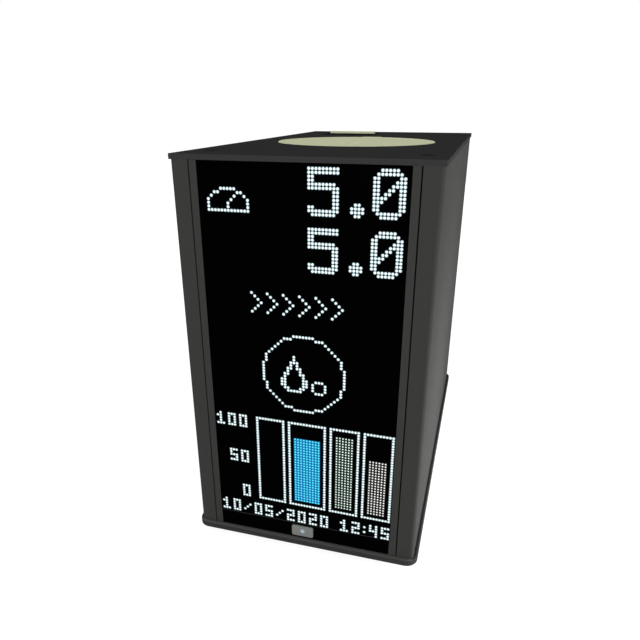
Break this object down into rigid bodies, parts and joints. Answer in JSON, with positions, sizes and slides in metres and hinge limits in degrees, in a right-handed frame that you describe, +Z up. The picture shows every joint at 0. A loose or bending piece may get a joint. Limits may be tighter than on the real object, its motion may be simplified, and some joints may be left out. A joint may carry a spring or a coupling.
{
  "type": "hydrogen generator",
  "caption": "Bench hydrogen generator: tall extruded cabinet, full-height dot-matrix display, round water tank lid on top, fan and gas ports behind.",
  "frame": {"origin": "middle of the bounding box's footprint, on the surface under the feet", "axes": "+Z up, the display faces -Y, the hydrogen outlet points along +Y, +X to the right of someone who faces the display"},
  "size_m": [0.155, 0.3244, 0.2579],
  "materials": {
    "graphite_profile": "dark anodised, satin",
    "graphite_plate": "fine powder coat, satin",
    "black_glass": "gloss",
    "button_grey": "satin",
    "blue_light": "lit lens",
    "pale_plastic": "moulded, satin",
    "tank_plastic": "moulded",
    "black_rubber": "matte",
    "red_rubber": "matte",
    "steel_screw": "zinc plated",
    "black_screw": "black oxide",
    "stainless": "turned",
    "white_plastic": "moulded",
    "black_plastic": "moulded",
    "tinned_metal": "tin plated",
    "circuit_board": "solder mask",
    "brass": "turned",
    "bare_aluminium": "brushed",
    "graphite": "pressed carbon",
    "membrane": "film and gasket",
    "clear_plastic": "frosted",
    "sensor_blue": "moulded",
    "hose": "fluoropolymer tube",
    "cable": "sheathed wire"
  },
  "bodies": {
    "cabinet": {"base_plate": "graphite_plate", "rubber_feet": "black_rubber", "base_screws": "black_screw", "side_panel_left": "graphite_profile", "side_panel_right": "graphite_profile", "top_plate": "graphite_plate", "top_screws": "black_screw", "front_frame": "graphite_profile", "frame_screws": "steel_screw", "display_glass": "black_glass", "lower_panel": "black_glass", "light_tiles": "black_plastic", "display_board": "circuit_board", "button_switch": "black_plastic", "control_board": "circuit_board", "board_standoffs": "brass", "board_screws": "steel_screw", "rear_panel": "graphite_plate", "rear_screws": "steel_screw", "fan_frame": "black_plastic", "fan_guard": "stainless", "fan_screws": "steel_screw", "mains_inlet": "black_plastic", "inlet_pins": "tinned_metal", "inlet_screws": "black_screw", "switch_housing": "black_plastic", "network_jack": "tinned_metal", "usb_port": "tinned_metal", "port_board": "circuit_board", "hydrogen_outlet": "stainless", "outlet_nuts": "stainless", "vent_barb": "white_plastic", "drain_port": "black_plastic", "drain_cap": "black_plastic", "water_tank": "tank_plastic", "tank_lid": "pale_plastic", "lid_seal": "red_rubber", "tank_shelf": "bare_aluminium", "level_sensor": "sensor_blue", "deioniser_housing": "black_plastic", "deioniser_cartridge": "clear_plastic", "cartridge_cap": "pale_plastic", "water_pump": "black_plastic", "stack_end_plates": "bare_aluminium", "bipolar_plates": "graphite", "membranes": "membrane", "tie_bolts": "stainless", "stack_cradle": "bare_aluminium", "separator": "clear_plastic", "dryer_column": "bare_aluminium", "gas_manifold": "bare_aluminium", "purge_valve": "black_plastic", "pressure_sensor": "stainless", "power_supply": "bare_aluminium", "tubing": "hose", "wiring": "cable"},
    "button": {"push_button": "button_grey", "button_light": "blue_light"},
    "rocker": {"power_rocker": "black_plastic"},
    "fan": {"fan_rotor": "black_plastic"}
  },
  "joints": [
    {"name": "button_press", "type": "slide", "parent": "cabinet", "child": "button", "axis": [0, 1, 0], "range_m": [0, 0.001], "stiffness_N_per_m": 600, "springref_m": -0.001},
    {"name": "rocker_swing", "type": "hinge", "parent": "cabinet", "child": "rocker", "pos_m": [0.0144, 0.13685, 0.032], "axis": [1, 0, 0], "range_deg": [0, 24]},
    {"name": "fan_spin", "type": "hinge", "parent": "cabinet", "child": "fan", "pos_m": [0, 0.12175, 0.102], "axis": [0, 1, 0], "continuous": true}
  ]
}
